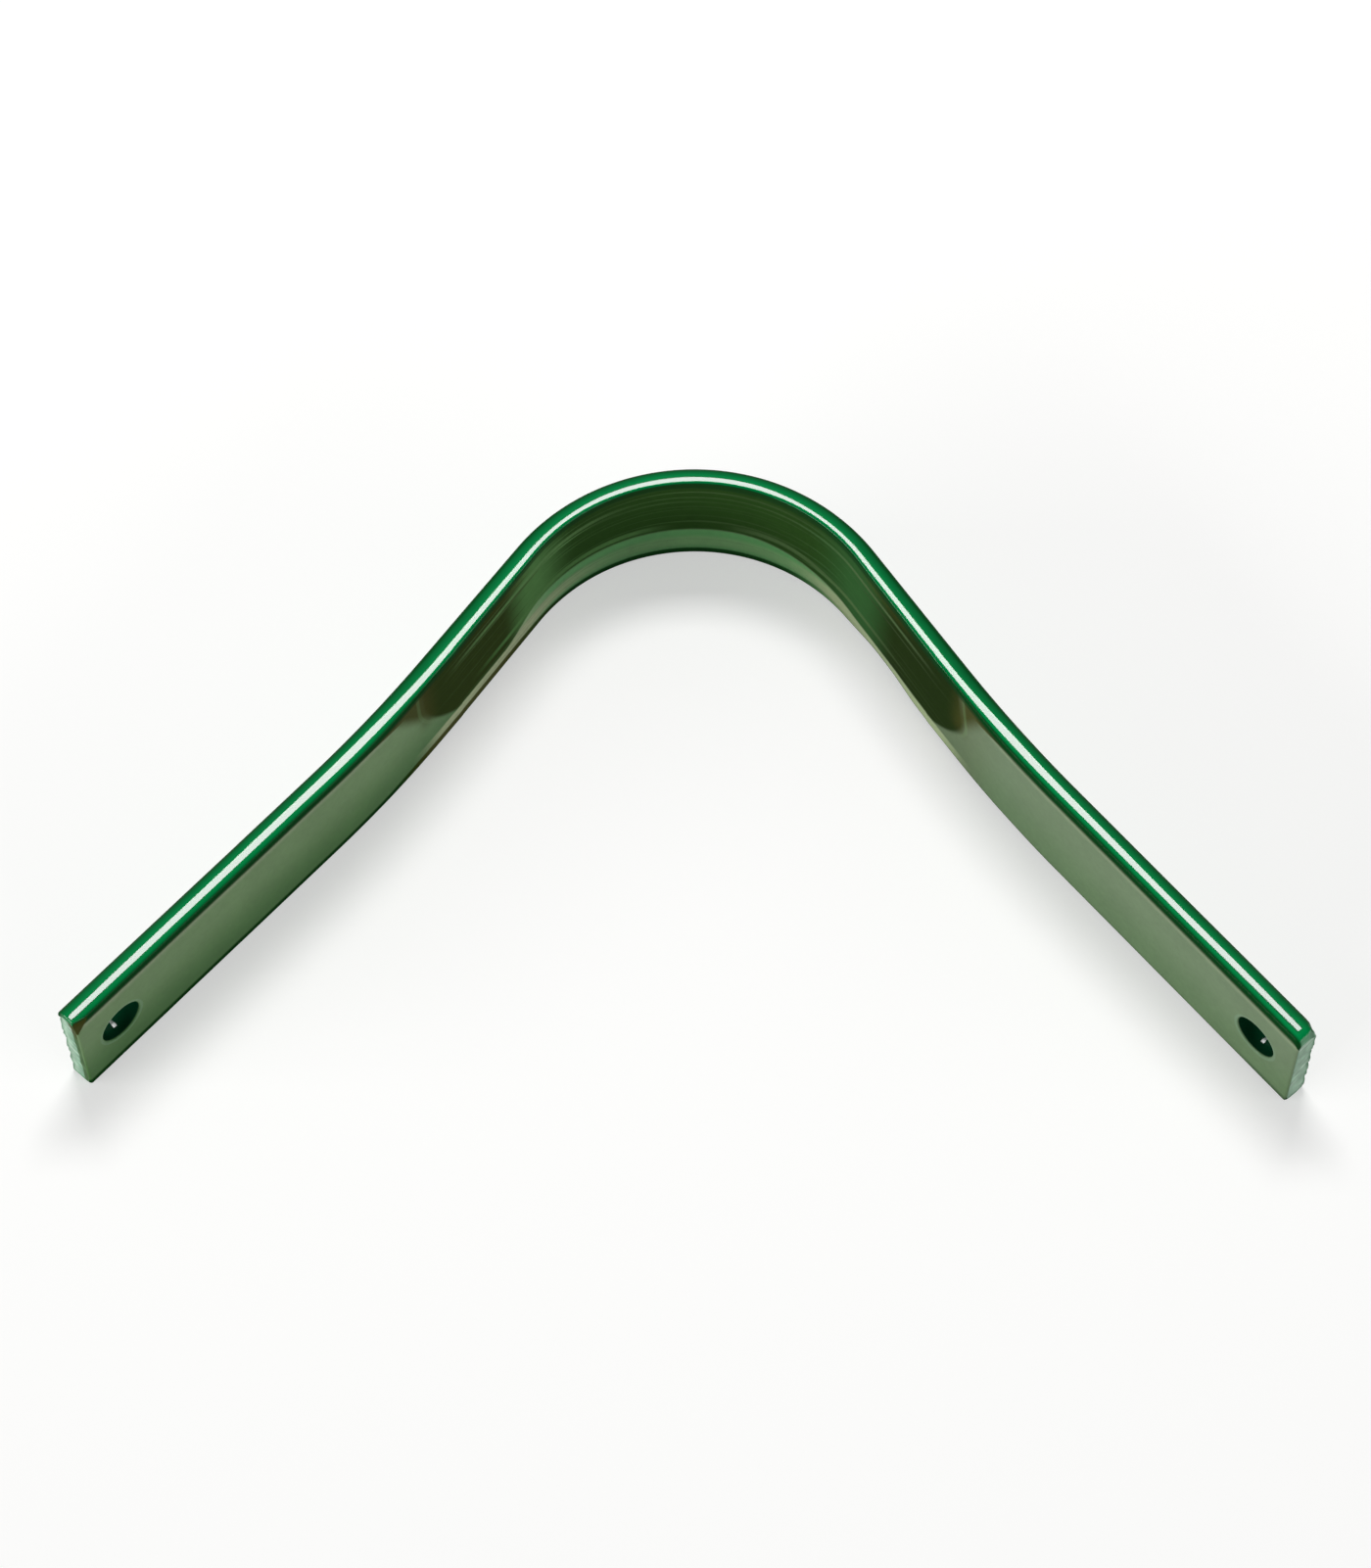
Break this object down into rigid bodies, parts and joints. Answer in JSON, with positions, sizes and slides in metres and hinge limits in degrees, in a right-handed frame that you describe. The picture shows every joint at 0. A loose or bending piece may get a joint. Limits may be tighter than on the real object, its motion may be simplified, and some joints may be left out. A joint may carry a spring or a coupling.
{
  "type": "saddle gullet plate",
  "caption": "Flat steel bar bent to a flared arch, with rounded long edges and a screw hole in each tip; it sets the width of a saddle's tree.",
  "frame": {"origin": "middle of the box around the plate, on the surface that it lies on", "axes": "+X from the left tip to the right tip, +Y from the tips to the head of the arch, +Z across the width of the bar, which lies on one long edge"},
  "size_m": [0.2502, 0.1303, 0.0295],
  "materials": {
    "enamel": "gloss dark green enamel on steel"
  },
  "bodies": {
    "root": {"gullet_plate": "enamel"}
  },
  "joints": []
}
